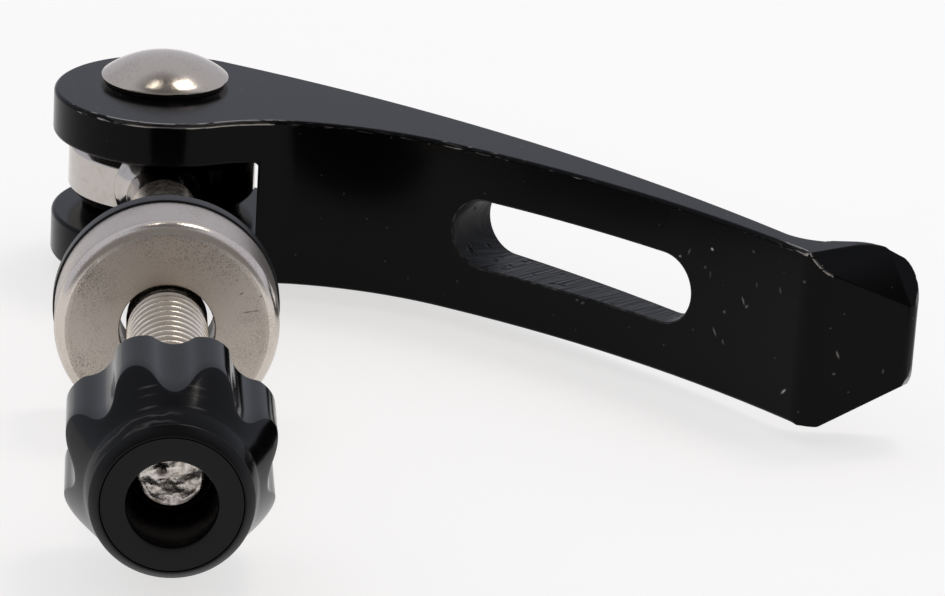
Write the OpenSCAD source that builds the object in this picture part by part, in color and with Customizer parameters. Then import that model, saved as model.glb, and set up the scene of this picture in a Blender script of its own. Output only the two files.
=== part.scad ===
// Seatpost quick release bolt: a cam lever riveted to the eye of a long bolt,
// a two-part thrust washer that slides on the bolt, and a turned thumb nut.
// Millimetres. The pivot axis is Z through the origin, the bolt runs toward -Y
// and the closed lever reaches toward +X.

/* [View] */
// one piece by its name, or all of them

/* [Cam lever] */
// height of the lever along the pivot
lever_h = 13.8; // [11:0.1:18]
// thickness of each fork ear
ear_t = 3.6; // [3:0.1:4.4]
// radius of the cam round the pivot
cam_r = 9.2; // [8.6:0.1:11]
// how far the cam centre sits in front of the pivot
cam_throw = 1.9; // [0.5:0.1:2.6]
// how far the cam centre sits to the lever's side of the pivot
cam_side = 0.3; // [0:0.1:1]
// radius of the cutter that opens the fork
fork_cutter_r = 20; // [14:0.5:30]
// how far past the pivot the fork is cut
fork_reach = 9.65; // [8.4:0.05:12]
// radius of the hollow where the blade leaves the cam
heel_r = 27.4; // [20:0.2:40]
// where along the lever that hollow lies deepest
heel_x = 7.3; // [5:0.1:12]
// depth of the front face in front of the pivot there
heel_depth = 9.2; // [8.4:0.1:10]
// radius of the run from the cam into that hollow
join_r = 14; // [8:0.5:20]
// angle the hollow turns through
heel_sweep = 31.9; // [20:0.1:40]
// radius of the long inner face
reach_r = 96.4; // [80:0.2:140]
// radius of the long outer face
back_r = 147.5; // [130:0.5:200]
// slant of the outer face where it leaves the cam
back_slant = 31.8; // [28:0.1:36]

/* [Finger tip] */
// overall reach of the lever from the pivot
tip_reach = 56.2; // [52:0.1:64]
// where the inner face rolls over into the tip
roll_x = 48.9; // [46:0.1:51]
// radius of that roll
roll_r = 2.5; // [1.5:0.1:3]
// depth of the tip's outer face in front of the pivot
tip_depth = 33.6; // [32:0.1:36]
// radius of the tip's end
tip_end_r = 1.3; // [0.8:0.1:2]
// radius of the hollow where the outer face turns into the tip
tip_hollow_r = 4; // [2:0.5:8]
// radius of the tip's corners seen along the cut
tip_corner_r = 5; // [3:0.1:6]
// slant of the corner cut
tip_corner_slant = 30; // [0:1:45]

/* [Lever slot] */
// length of the slot along the blade
slot_len = 22.2; // [10:0.2:26]
// height of the slot
slot_h = 5.6; // [4:0.1:8]
// place of the slot's middle, as an angle on the long inner face
slot_angle = 39.2; // [36:0.1:42]

/* [Pivot rivet] */
// diameter of the rivet's shank
rivet_d = 5.6; // [4.5:0.1:6.4]
// diameter of the domed head
head_d = 10.3; // [8:0.1:12]
// straight rim under the dome
head_rim = 0.6; // [0.3:0.1:1.2]
// height of the dome over the rim
head_dome = 1.8; // [1:0.1:2.4]
// diameter of the closed end below
tail_d = 8.8; // [7:0.1:11]
// height of the closed end
tail_h = 1.5; // [1:0.1:2.2]
// radial play of the eye on the rivet
pivot_play = 0.06; // [0.02:0.01:0.1]

/* [Eye bolt] */
// nominal thread diameter
bolt_d = 6; // [5:0.5:8]
// plain shank diameter
shank_d = 5.3; // [4.4:0.1:6]
// distance from the pivot to the bolt's end
bolt_len = 65.2; // [60:0.1:75]
// distance from the pivot to the first thread
thread_from = 34; // [28:0.5:40]
// outer radius of the forged eye
eye_r = 7.6; // [6.8:0.1:8]
// play between the eye and each ear
eye_play = 0.25; // [0.1:0.05:0.4]
// rounding of the eye's outer corners
eye_round = 1.8; // [0.5:0.1:2.4]
// radius of the hollow between eye and shank
neck_r = 3.4; // [2:0.1:5]
// flat end face of the bolt
bolt_tip_d = 4.5; // [3.5:0.1:5]
// thread pitch
pitch = 1; // [0.8:0.05:1.5]

/* [Washers] */
// distance from the pivot to the front face of the thrust washer
washer_at = 38.1; // [30:0.1:50]
// outer radius of the thrust washer
washer_r = 8.3; // [7.5:0.1:10]
// depth of the thrust washer
washer_t = 4.8; // [3:0.1:6]
// radius of the hole in the thrust washer
washer_hole_r = 3.5; // [3.3:0.05:4]
// rounding of its front edge
washer_round = 1.1; // [0.3:0.1:1.5]
// radius of the recess in its back
recess_r = 6.8; // [5.5:0.1:7.4]
// depth of that recess
recess_t = 2.2; // [1:0.1:3]
// how far the plastic cam washer stands out past the thrust washer
pad_over = 0.15; // [0:0.05:0.5]
// thickness of its flange
pad_t = 1.3; // [0.8:0.1:2.5]
// depth of the dish in its back
dish_t = 0.7; // [0.3:0.1:1]
// side play of the pad's boss in the recess
pad_play = 0.15; // [0.05:0.05:0.4]

/* [Thumb nut] */
// how far the bolt reaches into the nut
nut_grip = 7.8; // [5:0.1:12]
// length of the nut
nut_len = 13; // [10:0.1:18]
// radius over the lobes
lobe_reach = 7.65; // [6.5:0.05:9]
// radius of one lobe's nose
lobe_r = 1.8; // [1:0.1:2.4]
// radius at the bottom of the valleys
valley_reach = 6.5; // [5.5:0.05:8]
// number of lobes
lobe_n = 8; // [6:1:10]
// length of the straight part before the cone
straight_len = 5.9; // [4:0.1:9]
// side angle of the cone
cone_slant = 21; // [10:1:30]
// radius of the nose at its rim
nose_r = 5.65; // [5:0.05:6.4]
// bevel round the nose
nose_bevel = 0.75; // [0.2:0.05:1.2]
// radius of the open mouth
mouth_r = 3.1; // [3.05:0.05:4]
// depth of the mouth before the thread
mouth_t = 5; // [2:0.1:6]
// radial play between the plain bolt and the nut's bore
thread_play = 0.05; // [0.03:0.01:0.1]

/* [Hidden] */
$fn = 72;
e = 0.01;
// circles that only touch overlap by this much, so that outlines close cleanly
bite = 0.01;

// fork and pivot
fork_gap = lever_h - 2 * ear_t;
eye_t = fork_gap - 2 * eye_play;
eye_bore_r = rivet_d / 2 + pivot_play;

// lever outline: centres of its circles and the points where they touch
cam_c = [cam_side, -cam_throw];
heel_c = [heel_x, -heel_depth - heel_r];
heel_dir = [sin(heel_sweep), cos(heel_sweep)];
heel_end = heel_c + heel_r * heel_dir;
reach_c = heel_end - reach_r * heel_dir;
back_dir = [sin(back_slant), cos(back_slant)];
back_c = cam_c - (back_r - cam_r) * back_dir;
join_c = circles_meet(cam_c, cam_r + join_r, heel_c, heel_r - join_r);
join_a = cam_c + cam_r * unit(join_c - cam_c);
join_b = heel_c + heel_r * unit(join_c - heel_c);
roll_c = [roll_x, reach_c.y + sqrt(pow(reach_r + roll_r, 2) - pow(roll_x - reach_c.x, 2))];
roll_a = reach_c + reach_r * unit(roll_c - reach_c);
end_c = [tip_reach - tip_end_r, -tip_depth - tip_end_r];
hollow_y = -tip_depth + tip_hollow_r;
hollow_c = [back_c.x + sqrt(pow(back_r + tip_hollow_r, 2) - pow(hollow_y - back_c.y, 2)), hollow_y];
hollow_a = back_c + back_r * unit(hollow_c - back_c);
slot_c = reach_c + reach_r * [sin(slot_angle), cos(slot_angle)];

// eye neck: centre of the hollow between the eye and the shank, along the bolt
neck_x = shank_d / 2 + neck_r;
neck_y = sqrt(pow(eye_r + neck_r, 2) - neck_x * neck_x);

// thread, drawn as rings: depth and width of one groove, its first place and the number
thread_t = 0.61 * pitch;
groove_w = 2 * thread_t * tan(30);
first_groove = thread_from + (bolt_d - shank_d) / 2 + pitch / 2;
tip_bevel = (bolt_d - bolt_tip_d) / 2;
groove_n = floor((bolt_len - tip_bevel - groove_w / 2 - first_groove) / pitch) + 1;

// washers, as distances from the pivot
pad_r = washer_r + pad_over;
cup_back = washer_at - washer_t;
pad_back = cup_back - pad_t;
pad_bore_r = washer_hole_r + 0.1;
boss_r = recess_r - pad_play;
boss_end = cup_back + recess_t - 0.1;
dish_r = (pad_r * pad_r + dish_t * dish_t) / (2 * dish_t);

// nut: lobe and valley circles touch each other, so the wave runs smooth
nut_bore_r = bolt_d / 2 + thread_play;
nut_at = bolt_len - nut_grip;
nut_end = nut_at + nut_len;
lobe_c = lobe_reach - lobe_r;
half_c = cos(180 / lobe_n);
valley_r = (lobe_c * lobe_c + valley_reach * valley_reach - 2 * lobe_c * valley_reach * half_c
            - lobe_r * lobe_r) / (2 * (lobe_r + lobe_c * half_c - valley_reach));
valley_c = valley_reach + valley_r;
wave_mid = norm([valley_c, 0] + valley_r * unit(lobe_c * [half_c, sin(180 / lobe_n)] - [valley_c, 0]));
cone_end = nut_at + straight_len + (lobe_reach - nose_r) / tan(cone_slant);

function unit(v) = v / norm(v);
function heading(v) = atan2(v.y, v.x);

// points along an arc from one angle to another
function arc(c, r, a0, a1, n) =
    [for (i = [0:n]) let (a = a0 + (a1 - a0) * i / n) c + r * [cos(a), sin(a)]];

// the meeting point of two circles that lies to the left, seen from the first to the second
function circles_meet(a, ra, b, rb) =
    let (d = norm(b - a), u = (b - a) / d,
         s = (d * d + ra * ra - rb * rb) / (2 * d), h = sqrt(ra * ra - s * s))
    a + s * u + h * [-u.y, u.x];

// ends of the line that touches two circles on the right, seen from the first to the second
function touch(a, ra, b, rb) =
    let (v = b - a, t = heading(v) - 90 + asin((ra - rb) / norm(v)), n = [cos(t), sin(t)])
    [a + ra * n, b + rb * n];

// puts a turned shape on the bolt: its z becomes the distance from the pivot toward the nut
module on_bolt() {
    rotate([90, 0, 0]) children();
}

// bar of rectangular section with its outer corners rounded, for turning
module rounded_rim(r, z0, z1, round0, round1) {
    difference() {
        translate([0, z0]) square([r, z1 - z0]);
        if (round0 > 0) translate([r - round0, z0 - e]) square([round0 + e, round0 + e]);
        if (round1 > 0) translate([r - round1, z1 - round1]) square([round1 + e, round1 + e]);
    }
    if (round0 > 0) translate([r - round0, z0 + round0]) circle(r = round0);
    if (round1 > 0) translate([r - round1, z1 - round1]) circle(r = round1);
}

// rounded slot lying along x
module slot_shape(length, height) {
    square([length - height, height], center = true);
    for (s = [-1, 1]) translate([s * (length - height) / 2, 0]) circle(d = height);
}

// full height of the lever
module plate() {
    linear_extrude(height = lever_h, center = true) children();
}

// long curved blade between the outer face and the two inner faces
module blade_shape() {
    difference() {
        intersection() {
            translate(back_c) circle(r = back_r, $fn = 360);
            polygon([cam_c, cam_c + (cam_r + 8) * back_dir, hollow_a + 8 * unit(hollow_a - back_c),
                     hollow_a, roll_a, roll_a - 6 * unit(roll_a - reach_c),
                     heel_end - 6 * heel_dir, join_b - 6 * unit(join_b - heel_c)]);
        }
        translate(heel_c) circle(r = heel_r + bite, $fn = 180);
        intersection() {
            translate(reach_c) circle(r = reach_r, $fn = 360);
            polygon([reach_c, heel_end + 9 * heel_dir, heel_end + [60, -10], roll_a + [9, -30]]);
        }
    }
}

// run from the cam into the heel
module join_shape() {
    difference() {
        polygon([cam_c, join_a, join_c, join_b, join_b + [0, 4]]);
        translate(join_c) circle(r = join_r + 2 * bite);
    }
}

// tip: the inner face rolls over and the outer face turns out for the finger
module tip_shape() {
    edge = touch(roll_c, roll_r, end_c, tip_end_r);
    inside = (roll_a + hollow_a) / 2 - [4, -4];
    under = heading(edge[1] - end_c);
    polygon(concat([inside],
        arc(hollow_c, tip_hollow_r + bite, heading(hollow_a - hollow_c), -90, 10),
        arc(end_c, tip_end_r, 90, under, 14),
        arc(roll_c, roll_r + bite, under, heading(roll_a - roll_c) - 9, 10)));
}

// rounds the two corners of the tip, cut on the slant
module tip_corner_cut() {
    inner = tip_end_r - tip_corner_r;
    half = lever_h / 2 - tip_corner_r;
    translate([end_c.x, end_c.y, 0]) rotate([0, 0, -tip_corner_slant])
    for (s = [-1, 1]) difference() {
        translate([inner, -12, s > 0 ? half : -half - tip_corner_r - 1])
            cube([tip_corner_r + 2, 24, tip_corner_r + 1]);
        translate([inner, 0, s * half]) rotate([90, 0, 0])
            cylinder(r = tip_corner_r, h = 30, center = true);
    }
}

module cam_lever() {
    color("#17171a")
    difference() {
        union() {
            plate() translate(cam_c) circle(r = cam_r + bite, $fn = 144);
            plate() blade_shape();
            plate() join_shape();
            plate() tip_shape();
        }
        // fork, milled from the cam side with a round cutter
        translate([fork_reach - fork_cutter_r, 0, 0])
            cylinder(r = fork_cutter_r, h = fork_gap, center = true, $fn = 180);
        cylinder(d = rivet_d, h = lever_h + 2, center = true);
        // slot through the blade, square to its inner face
        translate([slot_c.x, slot_c.y, 0]) rotate([0, 0, -slot_angle]) rotate([90, 0, 0])
            linear_extrude(height = 16, center = true) slot_shape(slot_len, slot_h);
        tip_corner_cut();
    }
}

// shallow dome standing on a round base
module dome(d, h) {
    ball = (d * d / 4 + h * h) / (2 * h);
    intersection() {
        translate([0, 0, h - ball]) sphere(r = ball, $fn = 144);
        cylinder(d = d, h = h);
    }
}

module pivot_rivet() {
    color("#b9b2a9") {
        cylinder(d = rivet_d, h = lever_h + 2 * e, center = true);
        translate([0, 0, lever_h / 2]) cylinder(d = head_d, h = head_rim + e);
        translate([0, 0, lever_h / 2 + head_rim]) dome(head_d, head_dome);
        mirror([0, 0, 1]) translate([0, 0, lever_h / 2]) dome(tail_d, tail_h);
    }
}

// threaded end: ring grooves with the thread's pitch, depth and flanks stand for its helix
module threaded_end() {
    on_bolt() rotate_extrude($fn = 36)
        polygon(concat([[0, thread_from - 1], [shank_d / 2, thread_from - 1], [shank_d / 2, thread_from],
                        [bolt_d / 2, thread_from + (bolt_d - shank_d) / 2]],
            [for (i = [0:groove_n - 1], s = [-1:1])
                [bolt_d / 2 - (s == 0 ? thread_t : 0), first_groove + i * pitch + s * groove_w / 2]],
            [[bolt_d / 2, bolt_len - tip_bevel], [bolt_tip_d / 2, bolt_len], [0, bolt_len]]));
}

// forged eye, neck, plain shank and the threaded end
module eye_bolt() {
    color("#b7b0a8")
    difference() {
        union() {
            rotate_extrude($fn = 120)
                rounded_rim(eye_r, -eye_t / 2, eye_t / 2, eye_round, eye_round);
            intersection() {
                on_bolt() rotate_extrude() difference() {
                    polygon([[0, 2], [eye_r * neck_x / (eye_r + neck_r), eye_r * neck_y / (eye_r + neck_r)],
                             [neck_x, neck_y], [0, neck_y]]);
                    translate([neck_x, neck_y]) circle(r = neck_r);
                }
                cube([20, 60, eye_t], center = true);
            }
            on_bolt() rotate_extrude()
                polygon([[0, 2], [shank_d / 2, 4], [shank_d / 2, thread_from - 0.5],
                         [0, thread_from - 0.5]]);
            threaded_end();
        }
        cylinder(r = eye_bore_r, h = eye_t + 2, center = true);
    }
}

// moulded pad: a dished flange against the cam and a boss that sits in the steel washer
module cam_washer() {
    color("#1b1b1c")
    on_bolt() rotate_extrude($fn = 120) difference() {
        polygon([[pad_bore_r, pad_back], [pad_r, pad_back], [pad_r, cup_back], [boss_r, cup_back],
                 [boss_r, boss_end], [pad_bore_r, boss_end]]);
        translate([0, pad_back + dish_t - dish_r]) circle(r = dish_r, $fn = 360);
    }
}

// turned steel washer with a rounded front edge, recessed behind for the pad
module thrust_washer() {
    color("#aaa39b")
    on_bolt() difference() {
        rotate_extrude($fn = 120)
            rounded_rim(washer_r, cup_back, washer_at, 0, washer_round);
        translate([0, 0, cup_back - 1]) cylinder(r = washer_hole_r, h = washer_t + 2);
        translate([0, 0, cup_back - 1]) cylinder(r = recess_r, h = recess_t + 1);
        translate([0, 0, washer_at - 0.25])
            cylinder(r1 = washer_hole_r, r2 = washer_hole_r + 0.3, h = 0.3);
    }
}

// wavy grip outline of the nut
module grip_shape() {
    difference() {
        union() {
            circle(r = wave_mid, $fn = 144);
            for (i = [0:lobe_n - 1]) rotate((i + 0.5) * 360 / lobe_n)
                translate([lobe_c, 0]) circle(r = lobe_r);
        }
        for (i = [0:lobe_n - 1]) rotate(i * 360 / lobe_n)
            translate([valley_c, 0]) circle(r = valley_r + bite);
    }
}

// thumb nut: grip outline turned down to a cone and a round nose, open at the mouth
module thumb_nut() {
    color("#19191b")
    on_bolt() difference() {
        intersection() {
            translate([0, 0, nut_at]) linear_extrude(height = nut_len) grip_shape();
            rotate_extrude($fn = 144)
                polygon([[0, nut_at], [lobe_reach - 0.4, nut_at], [lobe_reach + 0.1, nut_at + 0.5],
                         [lobe_reach + 0.1, nut_at + straight_len], [lobe_reach, nut_at + straight_len],
                         [nose_r, cone_end], [nose_r, nut_end - nose_bevel],
                         [nose_r - nose_bevel, nut_end], [0, nut_end]]);
        }
        translate([0, 0, nut_at - 1]) cylinder(r = nut_bore_r, h = nut_len + 2);
        translate([0, 0, nut_end - mouth_t]) cylinder(r = mouth_r, h = mouth_t + 1);
        translate([0, 0, nut_at - e]) cylinder(r1 = nut_bore_r + 0.5, r2 = nut_bore_r, h = 0.5);
    }
}

cam_lever();
pivot_rivet();
eye_bolt();
cam_washer();
thrust_washer();
thumb_nut();
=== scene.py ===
import math

import bmesh
import bpy
from mathutils import Matrix, Vector, noise


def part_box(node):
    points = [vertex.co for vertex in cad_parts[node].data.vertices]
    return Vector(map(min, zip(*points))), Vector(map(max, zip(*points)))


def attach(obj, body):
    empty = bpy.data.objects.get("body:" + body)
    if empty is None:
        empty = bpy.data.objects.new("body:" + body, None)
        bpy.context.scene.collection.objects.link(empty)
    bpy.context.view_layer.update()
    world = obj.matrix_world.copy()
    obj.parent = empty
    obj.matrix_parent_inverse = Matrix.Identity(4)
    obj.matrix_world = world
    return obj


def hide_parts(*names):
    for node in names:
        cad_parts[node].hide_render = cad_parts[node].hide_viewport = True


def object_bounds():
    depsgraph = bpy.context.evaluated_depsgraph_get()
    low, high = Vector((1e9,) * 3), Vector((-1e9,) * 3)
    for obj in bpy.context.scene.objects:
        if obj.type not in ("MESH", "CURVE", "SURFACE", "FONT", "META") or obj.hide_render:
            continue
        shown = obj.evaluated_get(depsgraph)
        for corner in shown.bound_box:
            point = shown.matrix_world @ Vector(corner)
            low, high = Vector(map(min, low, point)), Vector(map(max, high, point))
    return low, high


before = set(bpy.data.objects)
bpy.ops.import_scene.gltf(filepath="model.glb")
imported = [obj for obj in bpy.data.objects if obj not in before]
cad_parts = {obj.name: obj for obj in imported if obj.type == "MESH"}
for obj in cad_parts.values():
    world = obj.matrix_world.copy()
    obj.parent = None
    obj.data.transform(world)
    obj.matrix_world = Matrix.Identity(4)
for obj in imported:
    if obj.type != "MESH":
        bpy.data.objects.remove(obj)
cad_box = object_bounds()


# The view and the light: the bolt lies on a plain white table and is seen from its nut end, a
# little from above. Two soft boxes hang behind it, left and right, and the room is pale round the
# walls and dark overhead.

MM = 0.001


def linear(hex_colour):
    """An sRGB hex colour as the linear colour that the render works with."""
    parts = [int(hex_colour[i:i + 2], 16) / 255 for i in (1, 3, 5)]
    return [p / 12.92 if p <= 0.04045 else ((p + 0.055) / 1.055) ** 2.4 for p in parts] + [1.0]


def add(tree, kind, sockets=None, **settings):
    """Adds a node. A socket that is given another node's output is linked, any other is set."""
    made = tree.nodes.new(kind)
    for name, value in settings.items():
        setattr(made, name, value)
    for key, value in (sockets or {}).items():
        if isinstance(value, bpy.types.NodeSocket):
            tree.links.new(value, made.inputs[key])
        else:
            made.inputs[key].default_value = value
    return made


scene = bpy.context.scene
scene.view_settings.view_transform = "Standard"

# the photo's own view: where it looks, in radians
yaw, pitch, roll = 0.0962, 0.3572, 0.0608
ahead = Vector((math.sin(yaw) * math.cos(pitch), math.cos(yaw) * math.cos(pitch),
                -math.sin(pitch)))
level = Vector((math.cos(yaw), -math.sin(yaw), 0))
upright = level.cross(ahead)
right = math.cos(roll) * level + math.sin(roll) * upright
up = math.cos(roll) * upright - math.sin(roll) * level
lens = bpy.data.cameras.new("view")
lens.sensor_width = 36
# a long lens, whose focal length is 4424 of the frame's 945 pixels
lens.lens = 4424.04 * 36 / 945
lens.clip_start = 0.01
camera = bpy.data.objects.new("view", lens)
scene.collection.objects.link(camera)
camera.matrix_world = Matrix.Translation(Vector((-6.9734, -341.8253, 117.0796)) * MM) @ Matrix(
    (right, up, -ahead)).transposed().to_4x4()
scene.camera = camera

# the table just clears the lowest point of the parts
table_form = bmesh.new()
bmesh.ops.create_grid(table_form, x_segments=1, y_segments=1, size=3.0)
table_mesh = bpy.data.meshes.new("table")
table_form.to_mesh(table_mesh)
table_form.free()
table = bpy.data.objects.new("table", table_mesh)
scene.collection.objects.link(table)
table.location.z = cad_box[0][2] - 0.02 * MM

# matt white card: even and without gloss, so that only the soft shadow shows on it. A little light
# of its own lifts it to white for the eye and for the mirrors, and lights nothing else.
white_card = bpy.data.materials.new("white card")
white_card.use_nodes = True
tree = white_card.node_tree
tree.nodes.clear()
ray = add(tree, "ShaderNodeLightPath").outputs
seen = add(tree, "ShaderNodeMath", {0: ray["Is Camera Ray"], 1: ray["Is Glossy Ray"]},
           operation="MAXIMUM")
seen = add(tree, "ShaderNodeMath", {0: seen.outputs[0], 1: ray["Is Transmission Ray"]},
           operation="MAXIMUM")
card = add(tree, "ShaderNodeBsdfDiffuse", {"Color": linear("#b6b5b3")})
lift = add(tree, "ShaderNodeEmission", {"Color": linear("#d5d4d3"), "Strength": seen.outputs[0]})
both = add(tree, "ShaderNodeAddShader", {0: card.outputs[0], 1: lift.outputs[0]})
add(tree, "ShaderNodeOutputMaterial", {"Surface": both.outputs[0]})
table_mesh.materials.append(white_card)

# what the polished and the anodised faces mirror: pale cool walls, dark overhead
room = bpy.data.worlds.new("pale room")
scene.world = room
room.use_nodes = True
tree = room.node_tree
tree.nodes.clear()
toward = add(tree, "ShaderNodeTexCoord").outputs["Generated"]
way = add(tree, "ShaderNodeSeparateXYZ", {0: toward}).outputs
height = way["Z"]
overhead = add(tree, "ShaderNodeMapRange", {0: height, 1: 0.86, 2: 0.97, 3: 0.0, 4: 1.0})
walls = add(tree, "ShaderNodeMixRGB", {"Fac": overhead.outputs[0], "Color1": (0.68, 0.70, 0.79, 1),
                                       "Color2": (0.16, 0.16, 0.17, 1)})
# the room is dim in front of the table, above its edge
front = add(tree, "ShaderNodeMapRange", {0: way["Y"], 1: -0.2, 2: -0.5, 3: 0.0, 4: 1.0})
raised = add(tree, "ShaderNodeMapRange", {0: height, 1: 0.0, 2: 0.1, 3: 0.0, 4: 1.0})
dim = add(tree, "ShaderNodeMath", {0: front.outputs[0], 1: raised.outputs[0]},
          operation="MULTIPLY")
walls = add(tree, "ShaderNodeMixRGB", {"Fac": dim.outputs[0], "Color1": walls.outputs[0],
                                       "Color2": (0.26, 0.25, 0.25, 1)})
ray = add(tree, "ShaderNodeLightPath").outputs
seen = add(tree, "ShaderNodeMath", {0: ray["Is Camera Ray"], 1: ray["Is Transmission Ray"]},
           operation="MAXIMUM")
backdrop = add(tree, "ShaderNodeMixRGB", {"Fac": seen.outputs[0], "Color1": walls.outputs[0],
                                          "Color2": (1, 1, 1, 1)})
glow = add(tree, "ShaderNodeBackground", {"Color": backdrop.outputs[0], "Strength": 1.0})
add(tree, "ShaderNodeOutputWorld", {"Surface": glow.outputs[0]})

# the soft boxes, in metres and watts, both aimed at the middle of the bolt
aim = Vector((0.01, -0.03, 0))
for name, place, size, watts in (("soft_box_left", (-0.07, 0.06, 0.45), (0.09, 0.05), 0.045),
                                 ("soft_box_right", (0.14, 0.085, 0.45), (0.10, 0.13), 0.30)):
    light = bpy.data.lights.new(name, "AREA")
    light.shape = "RECTANGLE"
    light.size, light.size_y = size
    light.energy = watts
    light.color = (1.0, 0.94, 0.86)
    lamp = bpy.data.objects.new(name, light)
    scene.collection.objects.link(lamp)
    lamp.location = place
    lamp.rotation_euler = (aim - lamp.location).to_track_quat("-Z", "Y").to_euler()


# The lever: a cam with two ears and a long curved blade, sawn from one aluminium extrusion and
# milled, tumbled so that its edges are round, and anodised black. Handling has rubbed the upper
# front edge down to bright metal and left small nicks over the blade's end.

slot_round, edge_round, tip_round = 0.14, 0.34, 0.12
# middle and direction of the slot through the blade, its half length and half height
slot_middle, slot_along = Vector((31.75, -20.53, 0)), Vector((0.775, -0.632, 0))
slot_half, slot_half_height = 11.4, 3.0


def cleaned(node):
    """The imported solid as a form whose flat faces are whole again."""
    form = bmesh.new()
    form.from_mesh(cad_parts[node].data)
    bmesh.ops.remove_doubles(form, verts=form.verts, dist=0.05 * MM)
    bmesh.ops.dissolve_limit(form, angle_limit=math.radians(0.5), verts=form.verts,
                             edges=form.edges)
    return form


def faceted(form, place, facing):
    """Takes the corner beyond a plane off the lever's tip and closes it with a flat facet."""
    got = bmesh.ops.bisect_plane(
        form, geom=form.verts[:] + form.edges[:] + form.faces[:], dist=0.0001 * MM,
        plane_co=Vector(place) * MM, plane_no=Vector(facing), clear_outer=True)
    rim = [part for part in got["geom_cut"] if isinstance(part, bmesh.types.BMEdge)]
    bmesh.ops.edgenet_fill(form, edges=rim)
    # the cut leaves hair-thin slivers at the end of the tip, which are closed up
    near = [vert for vert in form.verts if vert.co.x > 50 * MM and abs(vert.co.z) > 2.4 * MM]
    bmesh.ops.remove_doubles(form, verts=near, dist=0.22 * MM)
    bmesh.ops.recalc_face_normals(form, faces=form.faces)


def ease(form, width, where=None, turn=28, steps=3):
    """Rounds the edges sharper than `turn` degrees, `width` mm wide, and gives them slot 1."""
    sharp = [edge for edge in form.edges
             if edge.is_manifold and edge.calc_face_angle() > math.radians(turn)
             and (where is None or where((edge.verts[0].co + edge.verts[1].co) / (2 * MM)))]
    bmesh.ops.bevel(form, geom=sharp, offset=width * MM, offset_type="OFFSET", segments=steps,
                    profile=0.5, affect="EDGES", clamp_overlap=False, material=1)


def in_order(form):
    """Puts the faces in one fixed order, because easing leaves theirs to chance."""
    form.verts.index_update()
    many = len(form.verts)

    def rank(face):
        first, second, third = sorted(vert.index for vert in face.verts)[:3]
        return (first * many + second) * many + third

    form.faces.sort(key=rank)


def shown(name, form):
    """Puts a finished form into the scene, smooth apart from what turns by over 34 degrees."""
    mesh = bpy.data.meshes.new(name)
    for face in form.faces:
        face.smooth = True
    for edge in form.edges:
        edge.smooth = not (edge.is_manifold and edge.calc_face_angle() > math.radians(34))
    form.to_mesh(mesh)
    form.free()
    piece = bpy.data.objects.new(name, mesh)
    scene.collection.objects.link(piece)
    even = piece.modifiers.new("even shading", "WEIGHTED_NORMAL")
    even.keep_sharp = True
    return piece


def in_slot(place):
    """Whether a place, in mm, lies on the walls or the rims of the slot."""
    away = place - slot_middle
    return abs(away.dot(slot_along)) < slot_half and abs(place.z) < slot_half_height


def on_blade(place):
    """Whether a place is an edge of the ears or the blade, up to where the tip turns out."""
    behind_tip = place.x < 49.5 and place.y > -33.75
    return not in_slot(place) and (place.x <= 47.2 or behind_tip)


def on_upper_front(middle):
    """Whether a round lies along the upper front edge, where the fingers rub."""
    if middle.x < 47.4:
        return middle.z > 6.3
    return middle.y < -36.2 and middle.z > 4.4


lever_form = cleaned("cam_lever")
# the tip's two front corners are ground off on the slant, the upper one deeper
faceted(lever_form, (50.65, -36.65, 4.8), (0.357, -0.703, 0.615))
faceted(lever_form, (49.98, -36.84, -6.37), (0.453, -0.399, -0.797))
# slots: 0 faces, 1 rounds, 2 rubbed upper front edge, 3 milled slot walls, 4 front rim of the slot
for face in lever_form.faces:
    through = abs(face.normal.x * slot_along.y - face.normal.y * slot_along.x)
    wall = in_slot(face.calc_center_median() / MM) and through < 0.3
    face.material_index = 3 if wall else 0
ease(lever_form, slot_round, where=in_slot)
ease(lever_form, edge_round, where=on_blade, steps=4)
ease(lever_form, tip_round, where=lambda place: 47.2 < place.x < 54.6, turn=32)
for face in lever_form.faces:
    if face.material_index == 1:
        middle = face.calc_center_median() / MM
        if in_slot(middle) and face.normal.y < -0.1:
            face.material_index = 4
        if on_upper_front(middle) and face.normal.z > 0.1 and face.normal.y < -0.05:
            face.material_index = 2
in_order(lever_form)
lever = shown("lever", lever_form)


def per(mm):
    """Texture scale that makes one grain of a pattern this many millimetres."""
    return 1000 / mm


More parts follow.
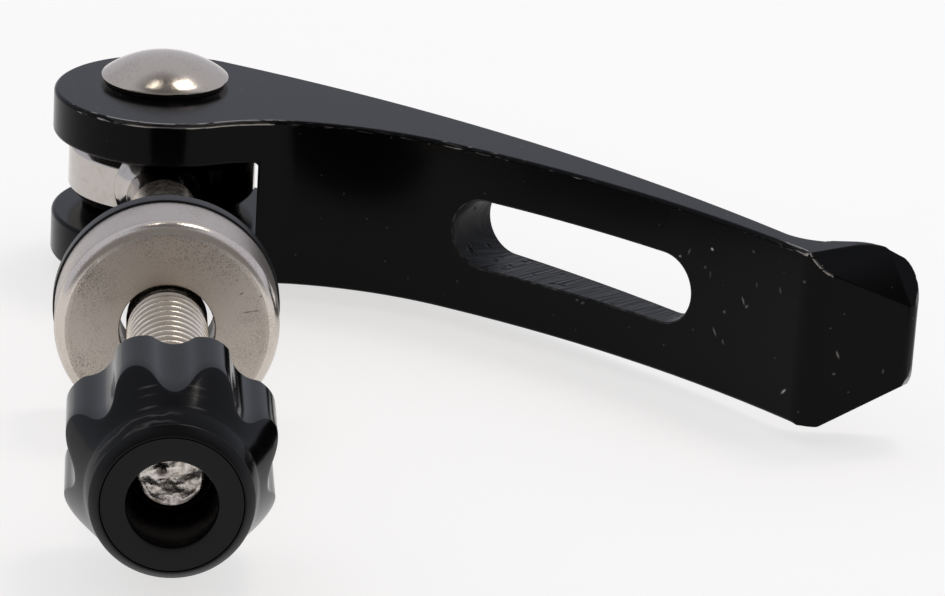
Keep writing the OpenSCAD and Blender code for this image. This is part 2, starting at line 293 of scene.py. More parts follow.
def anodised(name, dye=("#050506", "#080809"), rough=(0.13, 0.2), gloss=0.09, sheen=1.0,
             marks=None):
    """Black anodised aluminium: deep black seen straight on, grey where it mirrors at a glance."""
    black = bpy.data.materials.new(name)
    black.use_nodes = True
    tree = black.node_tree
    tree.nodes.clear()
    place = add(tree, "ShaderNodeTexCoord").outputs["Object"]
    # etched grain, really 0.03 mm, drawn 0.1 mm so that it shows
    grain = add(tree, "ShaderNodeTexNoise", {"Vector": place, "Scale": per(0.1), "Detail": 2})
    # dye cloud over some millimetres
    cloud = add(tree, "ShaderNodeTexNoise", {"Vector": place, "Scale": per(5), "Detail": 3})
    colour = add(tree, "ShaderNodeMixRGB", {"Fac": cloud.outputs[0], "Color1": linear(dye[0]),
                                            "Color2": linear(dye[1])}).outputs[0]
    satin = add(tree, "ShaderNodeMapRange", {0: grain.outputs[0], 1: 0.3, 2: 0.7, 3: rough[0],
                                             4: rough[1]})
    relief = add(tree, "ShaderNodeBump", {"Height": grain.outputs[0], "Strength": 0.06,
                                          "Distance": 0.02 * MM}).outputs[0]
    body = add(tree, "ShaderNodeBsdfPrincipled", {
        "Base Color": colour, "Roughness": satin.outputs[0], "Specular IOR Level": gloss,
        "Specular Tint": (sheen, sheen, sheen, 1), "Normal": relief})
    if marks:
        bare_and_glint, relief = marks(tree, place, relief)
        if bare_and_glint is not None:
            # the marks mix in bare metal: real wear and scratches, and on the nut's cone a painted
            # highlight
            worn = add(tree, "ShaderNodeMixRGB", {"Fac": bare_and_glint, "Color1": colour,
                                                  "Color2": linear("#94908a")})
            tree.links.new(worn.outputs[0], body.inputs["Base Color"])
            tree.links.new(bare_and_glint, body.inputs["Metallic"])
        tree.links.new(relief, body.inputs["Normal"])
    add(tree, "ShaderNodeOutputMaterial", {"Surface": body.outputs[0]})
    return black


# centre of the blade's front face, which is an arc seen from above as far as the tip's bend
blade_centre, bend_x = Vector((-29.18, -95.24, 0)), 48
# nicks that show: x, y, z, half length, half width, lean from level in degrees, strength
nicks = ((41.18, -29.27, 4.36, 0.15, 0.12, -21, 1.0), (46.49, -35.44, -4.63, 0.33, 0.10, -132, 0.9),
         (50.10, -36.83, -1.02, 0.34, 0.09, -68, 0.5), (43.46, -31.79, 1.20, 0.33, 0.09, -64, 0.5),
         (43.71, -32.08, 0.85, 0.20, 0.10, -135, 0.45),
         (41.76, -29.90, -2.09, 0.36, 0.09, -59, 0.45),
         (42.36, -30.55, -2.65, 0.20, 0.10, -71, 0.35), (42.30, -30.48, -0.23, 0.14, 0.12, 17, 0.4),
         (39.68, -27.70, 3.56, 0.28, 0.09, -110, 0.3), (39.09, -27.10, 2.94, 0.14, 0.11, 16, 0.6),
         (45.62, -34.36, 6.66, 0.16, 0.12, -121, 0.5), (47.20, -36.29, 4.52, 0.15, 0.12, 15, 0.3),
         (45.75, -34.51, 3.13, 0.26, 0.09, -63, 0.3), (49.94, -36.85, -2.56, 0.13, 0.11, -1, 0.35),
         (53.74, -36.36, -2.45, 0.18, 0.09, -94, 0.3), (43.87, -32.26, 5.34, 0.14, 0.10, -25, 0.3),
         (44.23, -32.69, 2.86, 0.22, 0.09, -84, 0.22), (40.81, -28.88, 2.75, 0.14, 0.11, 16, 0.3),
         (41.18, -29.28, 2.33, 0.30, 0.08, -90, 0.22),
         (32.59, -21.15, -3.32, 0.22, 0.10, -149, 0.28),
         (32.18, -20.82, -3.21, 0.13, 0.11, 15, 0.3))


def nicked(tree, place, relief):
    """Small strokes and dots where the black is knocked off down to bright metal."""
    bare_and_glint = 0.0
    for x, y, z, half, wide, lean, strength in nicks:
        out = Vector((x, y, 0)) - blade_centre
        level = Vector((out.y, -out.x, 0)).normalized() if x < bend_x else Vector((0.99, 0.13, 0))
        lean = math.radians(lean)
        stroke = level * math.cos(lean) + Vector((0, 0, math.sin(lean)))
        near = add(tree, "ShaderNodeMapping", {
            "Vector": place, "Location": Vector((x, y, z)) * MM,
            "Rotation": stroke.to_track_quat("X", "Z").to_euler(),
            "Scale": Vector((half, wide, wide)) * MM}, vector_type="TEXTURE")
        far = add(tree, "ShaderNodeVectorMath", {0: near.outputs[0]}, operation="LENGTH")
        dot = add(tree, "ShaderNodeMapRange", {0: far.outputs["Value"], 1: 0.5, 2: 1.3,
                                               3: strength, 4: 0.0})
        bare_and_glint = add(tree, "ShaderNodeMath", {0: dot.outputs[0], 1: bare_and_glint},
                   operation="MAXIMUM").outputs[0]
    # fine dust of pits, 0.1 mm across and a few millimetres apart
    pits = add(tree, "ShaderNodeTexVoronoi", {"Vector": place, "Scale": per(0.9)})
    close = add(tree, "ShaderNodeMapRange", {0: pits.outputs["Distance"], 1: 0.05, 2: 0.11,
                                             3: 0.28, 4: 0.0})
    pick = add(tree, "ShaderNodeSeparateXYZ", {0: pits.outputs["Color"]})
    some = add(tree, "ShaderNodeMath", {0: pick.outputs["X"], 1: 0.7}, operation="GREATER_THAN")
    pit = add(tree, "ShaderNodeMath", {0: close.outputs[0], 1: some.outputs[0]},
              operation="MULTIPLY")
    bare_and_glint = add(tree, "ShaderNodeMath", {0: pit.outputs[0], 1: bare_and_glint},
               operation="MAXIMUM").outputs[0]
    return bare_and_glint, relief


def rubbed(tree, place, relief):
    """Streaks of bright metal along the edge, thick on the ear and at the tip."""
    low_x, high_x = -9, 57
    x = add(tree, "ShaderNodeSeparateXYZ", {0: place}).outputs["X"]
    share = add(tree, "ShaderNodeMapRange", {0: x, 1: low_x * MM, 2: high_x * MM, 3: 0.0, 4: 1.0})
    wear = add(tree, "ShaderNodeValToRGB", {"Fac": share.outputs[0]})
    stops = wear.color_ramp.elements
    amounts = ((-8, 0.2), (-5.5, 0.5), (-3, 0.8), (6.5, 0.75), (9, 0.45), (13, 0.4), (32, 0.4),
               (38, 0.2), (45, 0.2), (47, 0.75), (51, 0.75), (52.5, 0.3), (56, 0.1))
    while len(stops) < len(amounts):
        stops.new(0.5)
    for stop, (at, amount) in zip(stops, amounts):
        stop.position = (at - low_x) / (high_x - low_x)
        stop.color = (amount, amount, amount, 1)
    # streaks 1.2 mm long and 0.1 mm wide
    streaks = add(tree, "ShaderNodeMapping", {"Vector": place,
                                              "Scale": (1.2 * MM, 1.2 * MM, 0.1 * MM)},
                  vector_type="TEXTURE")
    rough = add(tree, "ShaderNodeTexNoise", {"Vector": streaks.outputs[0], "Scale": 1.0,
                                             "Detail": 3})
    total = add(tree, "ShaderNodeMath", {0: wear.outputs[0], 1: 0.5, 2: rough.outputs[0]},
                operation="MULTIPLY_ADD")
    bare_and_glint = add(tree, "ShaderNodeMapRange", {0: total.outputs[0], 1: 0.76, 2: 0.86, 3: 0.0,
                                            4: 1.0})
    # both borders of the round are rubbed more than its middle
    facing = add(tree, "ShaderNodeNewGeometry").outputs["True Normal"]
    tilt = add(tree, "ShaderNodeSeparateXYZ", {0: facing}).outputs["Z"]
    off = add(tree, "ShaderNodeMath", {0: tilt, 1: 0.69, 2: 0.26}, operation="COMPARE")
    keep = add(tree, "ShaderNodeMapRange", {0: off.outputs[0], 3: 1.0, 4: 0.12})
    bare_and_glint = add(tree, "ShaderNodeMath", {0: bare_and_glint.outputs[0], 1: keep.outputs[0]},
               operation="MULTIPLY")
    return bare_and_glint.outputs[0], relief


def milled(tree, place, relief):
    """Marks of the cutter across the slot's walls, 0.35 mm apart, and spots torn out of them."""
    across = add(tree, "ShaderNodeMapping", {
        "Vector": place, "Rotation": (0, 0, math.radians(-39.2 - 14)),
        "Scale": (0.35 * MM, 4 * MM, 4 * MM)}, vector_type="TEXTURE")
    lines = add(tree, "ShaderNodeTexNoise", {"Vector": across.outputs[0], "Scale": 1.0,
                                             "Detail": 2})
    spots = add(tree, "ShaderNodeTexNoise", {"Vector": place, "Scale": per(1.3), "Detail": 4})
    torn = add(tree, "ShaderNodeMapRange", {0: spots.outputs[0], 1: 0.62, 2: 0.72, 3: 0.0,
                                            4: -1.6})
    depth = add(tree, "ShaderNodeMath", {0: torn.outputs[0], 1: lines.outputs[0]},
                operation="ADD")
    cut = add(tree, "ShaderNodeBump", {"Height": depth.outputs[0], "Strength": 1.0,
                                       "Distance": 0.12 * MM, "Normal": relief})
    return None, cut.outputs[0]


def thinned(tree, place, relief):
    """The black is thin on the slot's front rim, so that the metal glints through."""
    patches = add(tree, "ShaderNodeTexNoise", {"Vector": place, "Scale": per(0.7), "Detail": 3})
    bare_and_glint = add(tree, "ShaderNodeMapRange", {0: patches.outputs[0], 1: 0.35, 2: 0.7, 3: 0.05,
                                            4: 0.3})
    return bare_and_glint.outputs[0], relief


# a deep black that mirrors only at a glance, with small bright nicks
lever.data.materials.append(anodised("black anodised aluminium, nicked", marks=nicked))
# the same black on the tumbled rounds, which catch the pale walls
lever.data.materials.append(anodised("black anodised aluminium, tumbled edge"))
# black worn down to two thin bright lines of metal
lever.data.materials.append(anodised("black anodised aluminium, rubbed edge", marks=rubbed))
# cutter marks make the slot's walls greyer and duller than the tumbled faces
lever.data.materials.append(anodised("black anodised aluminium, milled",
                                     dye=("#101012", "#18181b"), rough=(0.3, 0.4), gloss=0.1,
                                     marks=milled))
# a thin glint round the front of the slot
lever.data.materials.append(anodised("black anodised aluminium, thin rim", marks=thinned))
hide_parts("cam_lever")
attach(lever, "lever")


# The pivot rivet: domed steel, nickel plated and brushed. Its shank goes through both ears and the
# eye of the bolt, and the lower end is set over the lower ear.

def bright(name, colour, dull, rough, grain_mm, depth_mm, lay=(1, 1, 1), grime_and_shade=None):
    """Bare or plated metal: mirrors the room, softened by a grain that a lay may draw out."""
    metal = bpy.data.materials.new(name)
    metal.use_nodes = True
    tree = metal.node_tree
    tree.nodes.clear()
    place = add(tree, "ShaderNodeTexCoord").outputs["Object"]
    # the grain is really some 0.02 mm, and is drawn as coarse as it needs to show
    drawn = add(tree, "ShaderNodeMapping", {"Vector": place,
                                            "Scale": Vector(lay) * grain_mm * MM},
                vector_type="TEXTURE")
    grain = add(tree, "ShaderNodeTexNoise", {"Vector": drawn.outputs[0], "Scale": 1.0,
                                             "Detail": 3})
    # handling clouds the plate over some millimetres
    cloud = add(tree, "ShaderNodeTexNoise", {"Vector": place, "Scale": per(3), "Detail": 3})
    spots = add(tree, "ShaderNodeMath", {0: grain.outputs[0], 1: cloud.outputs[0]},
                operation="MULTIPLY")
    tarnish = add(tree, "ShaderNodeMapRange", {0: spots.outputs[0], 1: 0.24, 2: 0.38, 3: 0.0,
                                               4: 1.0})
    tone = add(tree, "ShaderNodeMixRGB", {"Fac": tarnish.outputs[0], "Color1": linear(colour),
                                          "Color2": linear(dull)})
    if grime_and_shade:
        tone = grime_and_shade(tree, place, tone.outputs[0])
    satin = add(tree, "ShaderNodeMapRange", {0: grain.outputs[0], 1: 0.3, 2: 0.7, 3: rough * 0.75,
                                             4: rough * 1.3})
    bump = add(tree, "ShaderNodeBump", {"Height": grain.outputs[0], "Strength": 0.5,
                                        "Distance": depth_mm * MM})
    body = add(tree, "ShaderNodeBsdfPrincipled", {
        "Base Color": tone.outputs[0], "Metallic": 1.0, "Roughness": satin.outputs[0],
        "Normal": bump.outputs[0]})
    add(tree, "ShaderNodeOutputMaterial", {"Surface": body.outputs[0]})
    return metal


ear_top, drawn_in = 6.9, 0.945
rivet_form = cleaned("pivot_rivet")
for vert in rivet_form.verts:
    # the head's rim, level with the top of the ear, is drawn in so that it mirrors the black
    if abs(vert.co.z - ear_top * MM) < 0.01 * MM and vert.co.xy.length > 5 * MM:
        vert.co.xy *= drawn_in
ease(rivet_form, 0.1)
rivet = shown("rivet", rivet_form)
# warm grey mirror, brushed round so finely that only its highlights spread
nickel = bright("brushed nickel plate", "#bcb3a8", "#b1a89d", 0.17, 0.12, 0.006, lay=(1, 10, 1))
for slot in range(2):
    rivet.data.materials.append(nickel)
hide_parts("pivot_rivet")
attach(rivet, "lever")


# The eye of the bolt: forged from the bolt's own steel at the cam end, drilled for the rivet, with
# crisp chamfers and a short neck into the shank, and zinc plated.

eye_r, eye_half, eye_bore, neck_half = 7.6, 3.05, 2.86, 3.0
shank_r, shank_from = 2.65, -12.0


def lathe(form, profile, steps=144, upright=False, shut=False):
    """Turns a profile of (reach, distance) in mm round the pivot (upright) or round the bolt."""
    rows = []
    for reach, along in profile:
        row = []
        for k in range(steps):
            angle = 2 * math.pi * k / steps
            a, b = reach * math.cos(angle), reach * math.sin(angle)
            row.append(form.verts.new(Vector((a, b, along) if upright else (a, along, b)) * MM))
        rows.append(row)
    for near, far in zip(rows, rows[1:] + rows[:1] if shut else rows[1:]):
        for k in range(steps):
            form.faces.new((near[k], near[(k + 1) % steps], far[(k + 1) % steps], far[k]))


eye_form = bmesh.new()
# the ring of the eye, chamfered above and below
lathe(eye_form, ((eye_bore, -eye_half), (6.3, -eye_half), (6.46, -2.98), (7.52, -1.82),
                 (eye_r, -1.66), (eye_r, 1.5), (7.52, 1.66), (6.46, 2.98), (6.3, eye_half),
                 (eye_bore, eye_half)), upright=True, shut=True)
# the neck, with its fillet down to the shank
lathe(eye_form, ((3.9, -5.4), (3.9, -6.68), (3.82, -6.82), (3.5, -7.05), (3.2, -7.4), (2.98, -7.8),
                 (2.82, -8.25), (2.71, -8.8), (2.66, -9.5), (shank_r, -10.2),
                 (shank_r, shank_from)))
for vert in eye_form.verts:
    # the neck is no thicker than the eye
    if vert.co.y < -5 * MM and abs(vert.co.x) < 4.2 * MM and abs(vert.co.z) > neck_half * MM:
        vert.co.z = math.copysign(neck_half * MM, vert.co.z)
bmesh.ops.recalc_face_normals(eye_form, faces=eye_form.faces)
eye = shown("forged_eye", eye_form)
# nearly a mirror, a little cloudy, as zinc is after passivation
eye.data.materials.append(bright("zinc plated forging", "#bbb5b0", "#b3aca5", 0.12, 0.5, 0.006))
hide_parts("eye_bolt")
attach(eye, "bolt")


# The shank and the thread: the bolt's steel is drawn down to a plain shank, and an M6 x 1 thread is
# rolled on the rest, so its crests stand prouder than the shank. Zinc plated.

bolt_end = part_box("eye_bolt")[0].y / MM
thread_from, run_out = -34.0, 1.2
crest, root, tip_r = 3.0, 2.4, 2.25
# one turn's outline, as a share of the pitch and of the thread's depth: rolled, round at the crest
# and at the root
outline = ((0.0, 0.0), (0.08, 0.08), (0.16, 0.32), (0.25, 0.6), (0.34, 0.84), (0.42, 0.96),
           (0.5, 1.0), (0.58, 0.96), (0.66, 0.84), (0.75, 0.6), (0.84, 0.32), (0.92, 0.08))
around = 72
thread_form = bmesh.new()
turns = int(abs(bolt_end - thread_from)) + 2
rings = []
for turn in range(-1, turns):
    for share, rise in outline:
        ring = []
        for k in range(around):
            y = thread_from - (turn + share + k / around)
            y = min(thread_from, max(bolt_end, y))
            cut = min(1.0, (thread_from - y) / run_out)
            radius = shank_r + cut * (root + (crest - root) * rise - shank_r)
            # the bolt's end is bevelled at 45 degrees
            radius = min(radius, tip_r + (y - bolt_end))
            angle = 2 * math.pi * k / around
            ring.append(thread_form.verts.new(
                Vector((radius * math.cos(angle), y, radius * math.sin(angle))) * MM))
        rings.append(ring)
turn_rows = len(outline)
for i in range(len(rings) - 1):
    for k in range(around - 1):
        thread_form.faces.new((rings[i][k], rings[i][k + 1], rings[i + 1][k + 1], rings[i + 1][k]))
    if i + turn_rows + 1 < len(rings):
        thread_form.faces.new((rings[i][-1], rings[i + turn_rows][0], rings[i + turn_rows + 1][0],
                               rings[i + 1][-1]))
bmesh.ops.remove_doubles(thread_form, verts=thread_form.verts, dist=0.004 * MM)
lathe(thread_form, [(shank_r, y) for y in (shank_from, -16, -22, -28, thread_from + 0.2,
                                           thread_from)], steps=around)
bmesh.ops.recalc_face_normals(thread_form, faces=thread_form.faces)
thread = shown("shank_and_thread", thread_form)


def from_axis(tree, place):
    """Distance of a place from the bolt's own axis."""
    flat = add(tree, "ShaderNodeVectorMath", {0: place, 1: (1, 0, 1)}, operation="MULTIPLY")
    reach = add(tree, "ShaderNodeVectorMath", {0: flat.outputs[0]}, operation="LENGTH")
    return reach.outputs["Value"]


def root_painted_shade(tree, place, tone):
    """Painted shade: a dark brown in the roots of the thread, darkest at the root."""
    deep = add(tree, "ShaderNodeMapRange", {0: from_axis(tree, place), 1: 2.52 * MM, 2: 2.74 * MM,
                                            3: 0.95, 4: 0.0})
    along = add(tree, "ShaderNodeSeparateXYZ", {0: place}).outputs["Y"]
    past = add(tree, "ShaderNodeMath", {0: along, 1: (thread_from - 0.4) * MM},
               operation="LESS_THAN")
    amount = add(tree, "ShaderNodeMath", {0: deep.outputs[0], 1: past.outputs[0]},
                 operation="MULTIPLY")
    # the painted shade's dark brown
    return add(tree, "ShaderNodeMixRGB", {"Fac": amount.outputs[0], "Color1": tone,
                                          "Color2": linear("#2b2119")})


# pale and silky, with a bright line on each crest and a thin brown line of painted shade in each
# root
thread.data.materials.append(bright("zinc plated rolled thread", "#f4eadb", "#e6dac9", 0.27, 0.2,
                                    0.006, lay=(4, 1, 4), grime_and_shade=root_painted_shade))
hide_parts("eye_bolt")
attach(thread, "bolt")


# The struck end: the bolt's last face, dented with a punch once the nut is on, so that the nut
# can't run off. It shows in the nut's mouth.

end_form = bmesh.new()
end_rings, last = 22, None
for i in range(end_rings + 1):
    radius = tip_r * i / end_rings
    ring = []
    for k in range(around if i else 1):
        angle = 2 * math.pi * k / around
        x, z = radius * math.cos(angle), radius * math.sin(angle)
        # one deep dent left of the middle, folds across the face, and grit
        pit = max(0.0, 1 - math.hypot(x + 0.75, z - 0.35) / 0.7)
        folds = 0.5 + noise.noise(Vector((x * 0.75, 7.0, z * 1.1)))
        folds += 0.5 * abs(noise.noise(Vector((x * 1.3 + z * 0.8, 2.0, z * 0.6))))
        grit = abs(noise.noise(Vector((x * 3.5, 3.0, z * 3.5))))
        dent = 0.12 * folds + 0.035 * grit + 0.24 * pit * pit + 0.05 * abs(x) / tip_r
        dent *= min(1.0, (tip_r - radius) / 0.15)
        ring.append(end_form.verts.new(Vector((x, bolt_end + dent, z)) * MM))
    for k in range(around if i else 0):
        beyond = (k + 1) % around
        corners = (last[k], ring[k], ring[beyond], last[beyond]) if i > 1 else (
            last[0], ring[k], ring[beyond])
        end_form.faces.new(corners)
    last = ring
bmesh.ops.recalc_face_normals(end_form, faces=end_form.faces)
struck = shown("struck_end", end_form)
# crumpled bright metal whose folds mirror white and black by turns
struck.data.materials.append(bright("struck steel", "#d2cbc4", "#a0978d", 0.24, 0.3, 0.04))
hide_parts("eye_bolt")
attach(struck, "bolt")


# The cam washer: a black moulded pad, dished to the cam that it rubs on, with a boss that holds it
# in the steel washer.

pad_form = cleaned("cam_washer")
ease(pad_form, 0.15)
pad = shown("cam_pad", pad_form)
# a dull even black, with the fine skin of the mould drawn at 0.2 mm so that it shows
moulded = bpy.data.materials.new("moulded black acetal")
moulded.use_nodes = True
tree = moulded.node_tree
tree.nodes.clear()
place = add(tree, "ShaderNodeTexCoord").outputs["Object"]
skin = add(tree, "ShaderNodeTexNoise", {"Vector": place, "Scale": per(0.2), "Detail": 2})
bump = add(tree, "ShaderNodeBump", {"Height": skin.outputs[0], "Strength": 0.2,
                                    "Distance": 0.01 * MM})
body = add(tree, "ShaderNodeBsdfPrincipled", {
    "Base Color": linear("#0b0b0c"), "Roughness": 0.38, "Specular IOR Level": 0.2,
    "Normal": bump.outputs[0]})
add(tree, "ShaderNodeOutputMaterial", {"Surface": body.outputs[0]})
for slot in range(2):
    pad.data.materials.append(moulded)
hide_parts("cam_washer")
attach(pad, "washers")


# The thrust washer: a thick turned steel washer with a rolled front edge, tumbled and nickel plated
# to a fine satin.

hole_r, edge_r = 3.58, 6.9
washer_form = cleaned("thrust_washer")
washer_front = min(vert.co.y for vert in washer_form.verts)
for vert in washer_form.verts:
    # the hole's edge is only just broken
    reach = math.hypot(vert.co.x, vert.co.z)
    if vert.co.y < washer_front + 0.01 * MM and reach < 4 * MM:
        vert.co.x, vert.co.z = (part * hole_r * MM / reach for part in (vert.co.x, vert.co.z))
ease(washer_form, 0.05)
for face in washer_form.faces:
    middle = face.calc_center_median() / MM
    reach = math.hypot(middle.x, middle.z)
    # the hole's wall, painted dark as shade
    if reach < hole_r - 0.02 and abs(face.normal.y) < 0.5:
        face.material_index = 2
    # the rolled edge, painted lighter as a highlight
    elif reach > edge_r and -0.97 < face.normal.y < -0.25:
        face.material_index = 3
washer = shown("thrust_ring", washer_form)


def scratched(tree, place, tone):
    """Three dark scratches, a pit and a fine dark grain in the front face."""
    dark = 0.0
    for x, z, half, wide, lean in ((5.87, 1.61, 0.38, 0.05, 13), (6.45, 1.71, 0.26, 0.05, 6),
                                   (5.34, 3.04, 0.16, 0.06, 28), (6.78, 2.87, 0.09, 0.08, 0)):
        near = add(tree, "ShaderNodeMapping", {
            "Vector": place, "Location": Vector((x, washer_front / MM, z)) * MM,
            "Rotation": (0, math.radians(-lean), 0), "Scale": Vector((half, wide, wide)) * MM},
            vector_type="TEXTURE")
        far = add(tree, "ShaderNodeVectorMath", {0: near.outputs[0]}, operation="LENGTH")
        line = add(tree, "ShaderNodeMapRange", {0: far.outputs["Value"], 1: 0.5, 2: 1.4, 3: 0.7,
                                                4: 0.0})
        dark = add(tree, "ShaderNodeMath", {0: line.outputs[0], 1: dark},
                   operation="MAXIMUM").outputs[0]
    # tumbling has left a grain, drawn 0.11 mm so that it shows, most of it next to the rolled edge
    outer = add(tree, "ShaderNodeMapRange", {0: from_axis(tree, place), 1: 4.6 * MM, 2: 6.8 * MM,
                                             3: 0.25, 4: 1.0})
    along = add(tree, "ShaderNodeSeparateXYZ", {0: place}).outputs["Y"]
    front = add(tree, "ShaderNodeMath", {0: along, 1: washer_front + 0.5 * MM},
                operation="LESS_THAN")
    share = add(tree, "ShaderNodeMath", {0: outer.outputs[0], 1: front.outputs[0]},
                operation="MULTIPLY")
    grain = add(tree, "ShaderNodeTexNoise", {"Vector": place, "Scale": per(0.11), "Detail": 2})
    patch = add(tree, "ShaderNodeTexNoise", {"Vector": place, "Scale": per(6), "Detail": 2})
    both = add(tree, "ShaderNodeMath", {0: patch.outputs[0], 1: 0.6, 2: grain.outputs[0]},
               operation="MULTIPLY_ADD")
    speck = add(tree, "ShaderNodeMapRange", {0: both.outputs[0], 1: 0.86, 2: 1.0, 3: 0.0,
                                             4: 0.55})
    speck = add(tree, "ShaderNodeMath", {0: speck.outputs[0], 1: share.outputs[0]},
                operation="MULTIPLY")
    dark = add(tree, "ShaderNodeMath", {0: speck.outputs[0], 1: dark}, operation="MAXIMUM")
    return add(tree, "ShaderNodeMixRGB", {"Fac": dark.outputs[0], "Color1": tone,
                                          "Color2": linear("#4a423a")})


# warm grey, even and soft, because tumbling has matted the plate
satin_nickel = bright("satin nickel plate", "#bab1a8", "#aba298", 0.36, 0.13, 0.016,
                      grime_and_shade=scratched)
for slot in range(2):
    washer.data.materials.append(satin_nickel)
# the hole's wall is painted nearly black, as painted shade
washer.data.materials.append(bright("bore painted dark as shade", "#352d26", "#1f1914", 0.3, 0.2, 0.01))
# the rolled edge is burnished smoother and painted lighter than the face, a painted highlight, so
# that it catches the lamp in a bright line
washer.data.materials.append(bright("burnished rolled edge with painted highlight", "#cfc7be", "#c3bab1", 0.2, 0.13,
                                    0.008))
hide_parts("thrust_washer")
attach(washer, "washers")


# The thumb nut: aluminium, turned with a cone and a flat nose, then milled with eight lobes for the
# fingers and anodised black.

low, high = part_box("thumb_nut")
nut_back, nut_front = -high.y / MM, -low.y / MM
lobes, lobe_reach, lobe_r, valley_reach = 8, 7.65, 1.8, 6.5
straight_end, cone_slant = nut_back + 5.9, math.radians(21)
cone_r, nose_r, face_r = 5.9, 5.59, 4.97
bore_r, mouth_r, mouth_t = 3.05, 3.1, 5.0
back_bevel, edge_bevel = 0.13, 0.06

# lobes and valleys are arcs that touch: the valley's radius follows from the lobe's
lobe_c, half_turn = lobe_reach - lobe_r, math.pi / lobes
valley_r = ((lobe_c ** 2 + valley_reach ** 2 - 2 * lobe_c * valley_reach * math.cos(half_turn)
             - lobe_r ** 2) / (2 * (lobe_r + lobe_c * math.cos(half_turn) - valley_reach)))
valley_c = valley_reach + valley_r
lobe_at = Vector((lobe_c * math.cos(half_turn), lobe_c * math.sin(half_turn)))
meet = Vector((valley_c, 0)) + valley_r * (lobe_at - Vector((valley_c, 0))).normalized()
meet_turn = math.atan2(meet.y, meet.x)


def grip(angle):
    """Reach of the nut's wavy outline in a direction."""
    off = angle % (2 * half_turn)
    off = min(off, 2 * half_turn - off)
    if off < meet_turn:
        return valley_c * math.cos(off) - math.sqrt(valley_r ** 2 - (valley_c * math.sin(off)) ** 2)
    off = half_turn - off
    return lobe_c * math.cos(off) + math.sqrt(lobe_r ** 2 - (lobe_c * math.sin(off)) ** 2)


def nut_section(angle):
    """The nut's section in one direction: reach, distance from the pivot and slot of each point."""
    reach = grip(angle)
    drop = math.tan(cone_slant)
    edge = straight_end + (lobe_reach - reach) / drop
    cone_end = straight_end + (lobe_reach - cone_r) / drop
    back = min(reach, lobe_reach - 0.4)
    wall = nut_back + 0.8
    # the bore's mouth at the back, the rounded back edge, and the straight grip
    points = [(bore_r, nut_back + 0.5, 0), (bore_r + 0.5, nut_back, 0),
              (back - back_bevel, nut_back, 0),
              (back - 0.3 * back_bevel, nut_back + 0.3 * back_bevel, 0),
              (back, nut_back + back_bevel, 0),
              (reach, nut_back + back_bevel + reach - back + 0.02, 0), (reach, wall, 0)]
    points += [(reach, wall + (edge - edge_bevel - wall) * i / 4, 0) for i in (1, 2, 3, 4)]
    # the edge to the cone, and the cone
    top = reach - edge_bevel * drop
    points += [(reach - 0.25 * edge_bevel * drop, edge, 1), (top, edge + edge_bevel, 1)]
    points += [(top + (cone_r - top) * i / 4,
                edge + edge_bevel + (cone_end - edge - edge_bevel) * i / 4, 1) for i in (1, 2, 3)]
    # the nose, a fine groove in its face, and the mouth
    points += [(cone_r + 0.03, cone_end - 0.08, 1), (cone_r - 0.02, cone_end + 0.08, 2),
               (nose_r + 0.01, nut_front - 0.62, 2), (nose_r - 0.03, nut_front - 0.54, 3),
               (face_r + 0.06, nut_front - 0.04, 3), (face_r, nut_front, 3),
               (face_r - 0.08, nut_front, 3), (face_r - 0.12, nut_front - 0.08, 3),
               (face_r - 0.18, nut_front, 3), (4.0, nut_front, 3),
               (mouth_r + 0.16, nut_front, 3), (mouth_r + 0.05, nut_front - 0.05, 3),
               (mouth_r, nut_front - 0.16, 3), (mouth_r, nut_front - 2, 3),
               (mouth_r, nut_front - mouth_t, 3), (bore_r, nut_front - mouth_t - 0.05, 3)]
    return points


# slots: 0 grip, 1 cone, 2 rim of the nose, 3 nose face and mouth
nut_form = bmesh.new()
columns = []
around = 36 * lobes
for k in range(around):
    angle = 2 * math.pi * k / around
    points = nut_section(angle)
    kinds = [kind for _, _, kind in points]
    columns.append([nut_form.verts.new(Vector((r * math.cos(angle), -d, r * math.sin(angle))) * MM)
                    for r, d, _ in points])
for here, beside in zip(columns, columns[1:] + columns[:1]):
    for i in range(len(here)):
        j = (i + 1) % len(here)
        face = nut_form.faces.new((here[i], here[j], beside[j], beside[i]))
        face.material_index = kinds[j] if j else 0
bmesh.ops.recalc_face_normals(nut_form, faces=nut_form.faces)
nut = shown("nut", nut_form)


def ridge(tree, reach, at, half):
    """1 on a ring of this reach, falling to 0 this far off it, all in mm."""
    off = add(tree, "ShaderNodeMath", {0: reach, 1: at * MM}, operation="SUBTRACT")
    off = add(tree, "ShaderNodeMath", {0: off.outputs[0]}, operation="ABSOLUTE")
    return add(tree, "ShaderNodeMapRange", {0: off.outputs[0], 2: half * MM, 3: 1.0,
                                            4: 0.0}).outputs[0]


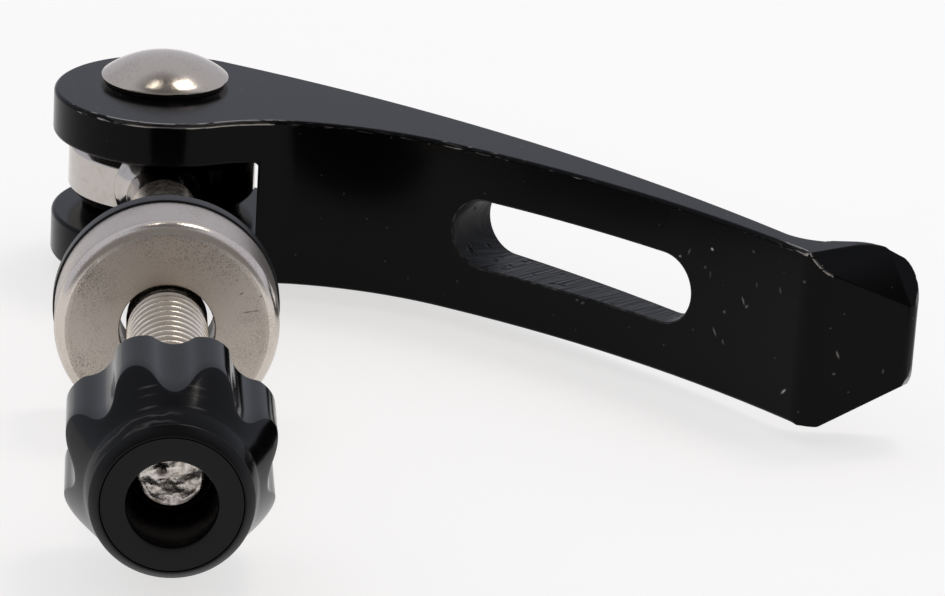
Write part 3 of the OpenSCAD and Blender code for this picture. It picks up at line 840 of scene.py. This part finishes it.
def turned(tree, place, relief):
    """Rings 0.12 mm apart from the lathe tool, and short bright arcs on some of them, a painted
    highlight.
    """
    reach = from_axis(tree, place)
    fine = add(tree, "ShaderNodeTexNoise", {"W": reach, "Scale": per(0.12), "Detail": 2},
               noise_dimensions="1D")
    total = 0.0
    # each groove's reach in mm, and how strongly its painted highlight arc shows
    for at, depth in ((6.77, 0.30), (6.47, 0.12), (6.04, 0.32), (5.62, 0.25)):
        total = add(tree, "ShaderNodeMath", {0: ridge(tree, reach, at, 0.05), 1: depth, 2: total},
                    operation="MULTIPLY_ADD").outputs[0]
    # the arcs, a painted highlight, lie on the cone's top, left and right of its middle
    x, _, z = add(tree, "ShaderNodeSeparateXYZ", {0: place}).outputs
    sideways = add(tree, "ShaderNodeMath", {0: x, 1: -0.15 * MM}, operation="SUBTRACT").outputs[0]
    sideways = add(tree, "ShaderNodeMath", {0: sideways}, operation="ABSOLUTE").outputs[0]
    upper = add(tree, "ShaderNodeMath", {0: z, 1: 0.0}, operation="GREATER_THAN")
    arc = add(tree, "ShaderNodeMath", {0: ridge(tree, sideways, 1.65, 0.75), 1: upper.outputs[0]},
              operation="MULTIPLY")
    # the painted highlight is given bare metal's colour and gloss
    bare_and_glint = add(tree, "ShaderNodeMath", {0: total, 1: arc.outputs[0]}, operation="MULTIPLY")
    rings = add(tree, "ShaderNodeBump", {"Height": fine.outputs[0], "Strength": 1.0,
                                         "Distance": 0.002 * MM, "Normal": relief})
    return bare_and_glint.outputs[0], rings.outputs[0]


def scuffed(tree, place, relief):
    """Curved scratches round the upper left of the nose's rim, where the nut has been dropped."""
    wander = add(tree, "ShaderNodeTexNoise", {"Vector": place, "Scale": per(2.5), "Detail": 3})
    wavy = add(tree, "ShaderNodeMath", {0: wander.outputs[0], 1: 0.4 * MM,
                                        2: from_axis(tree, place)},
               operation="MULTIPLY_ADD").outputs[0]
    lines = add(tree, "ShaderNodeMath", {0: ridge(tree, wavy, 5.82, 0.035),
                                         1: ridge(tree, wavy, 5.97, 0.03)}, operation="ADD")
    side = add(tree, "ShaderNodeVectorMath", {0: place, 1: (-0.55, 0, 0.83)},
               operation="DOT_PRODUCT")
    upper = add(tree, "ShaderNodeMapRange", {0: side.outputs["Value"], 1: 4.4 * MM, 2: 5.2 * MM,
                                             3: 0.0, 4: 0.22})
    bare_and_glint = add(tree, "ShaderNodeMath", {0: lines.outputs[0], 1: upper.outputs[0]},
               operation="MULTIPLY")
    return bare_and_glint.outputs[0], relief


# the milled grip is the glossiest black, and mirrors the walls in grey bands
nut.data.materials.append(anodised("black anodised nut, milled grip", rough=(0.11, 0.17)))
# the turned cone stays black, with its short arcs of painted highlight
nut.data.materials.append(anodised("black anodised nut, turned cone with painted highlight arcs", rough=(0.1, 0.15),
                                   marks=turned))
# the rim is duller and scratched
nut.data.materials.append(anodised("black anodised nut, scuffed rim", rough=(0.16, 0.24),
                                   sheen=0.45, marks=scuffed))
# the nose face is an even dark grey
nut.data.materials.append(anodised("black anodised nut, nose face", rough=(0.25, 0.32), gloss=0.2))
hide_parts("thumb_nut")
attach(nut, "nut")
